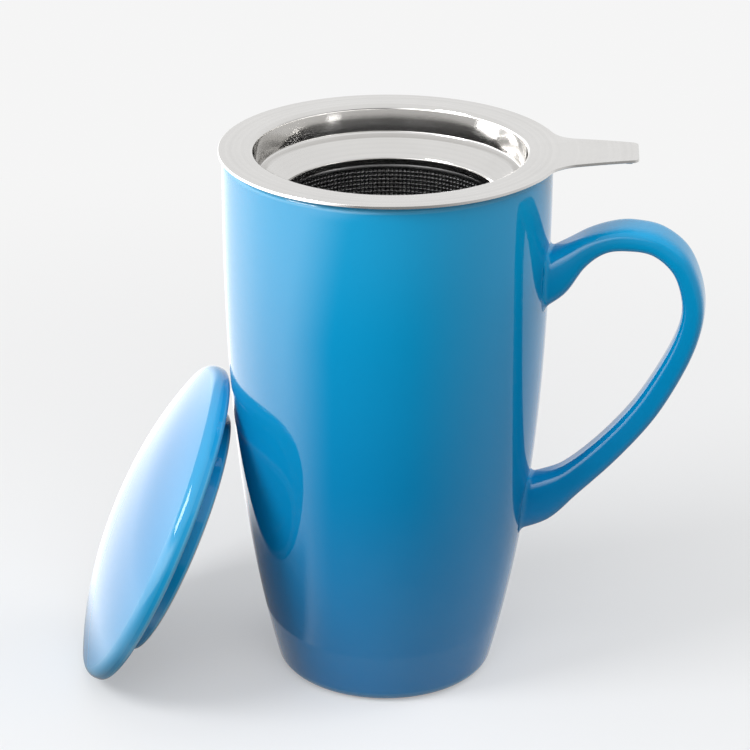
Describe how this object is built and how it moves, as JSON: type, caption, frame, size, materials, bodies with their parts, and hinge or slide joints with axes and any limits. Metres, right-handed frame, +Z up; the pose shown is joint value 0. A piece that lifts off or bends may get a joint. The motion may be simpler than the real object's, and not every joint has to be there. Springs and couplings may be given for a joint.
{
  "type": "lidded tea mug with infuser",
  "caption": "Tall glazed ceramic tea mug with a strap handle, a steel infuser with a lift tab in its mouth and a loose domed lid leaning on its side.",
  "frame": {"origin": "centre of the foot ring on the table plane, on the mug's axis", "axes": "+Z up along the mug's axis, +X from the axis towards the handle, +Y completes a right-handed frame; the lid leans on the -X side"},
  "size_m": [0.1599, 0.0983, 0.1409],
  "materials": {
    "glaze": "gloss glaze in clear blue over pale ceramic",
    "steel": "satin pressed stainless steel",
    "screen": "perforated stainless sheet"
  },
  "bodies": {
    "mug": {"cup_body": "glaze", "cup_handle": "glaze"},
    "infuser": {"infuser_collar": "steel", "infuser_screen_right": "screen", "infuser_screen_back": "screen", "infuser_screen_left": "screen", "infuser_screen_front": "screen", "infuser_base_rim": "steel", "infuser_base_screen": "screen"},
    "lid": {"lid": "glaze"}
  },
  "joints": [
    {"name": "infuser_lift", "type": "slide", "parent": "mug", "child": "infuser", "axis": [0, 0, 1], "range_m": [0, 0.09]},
    {"name": "lid_lift", "type": "slide", "parent": "mug", "child": "lid", "axis": [-0.8805, -0.2147, 0.4226], "range_m": [0, 0.1]}
  ]
}
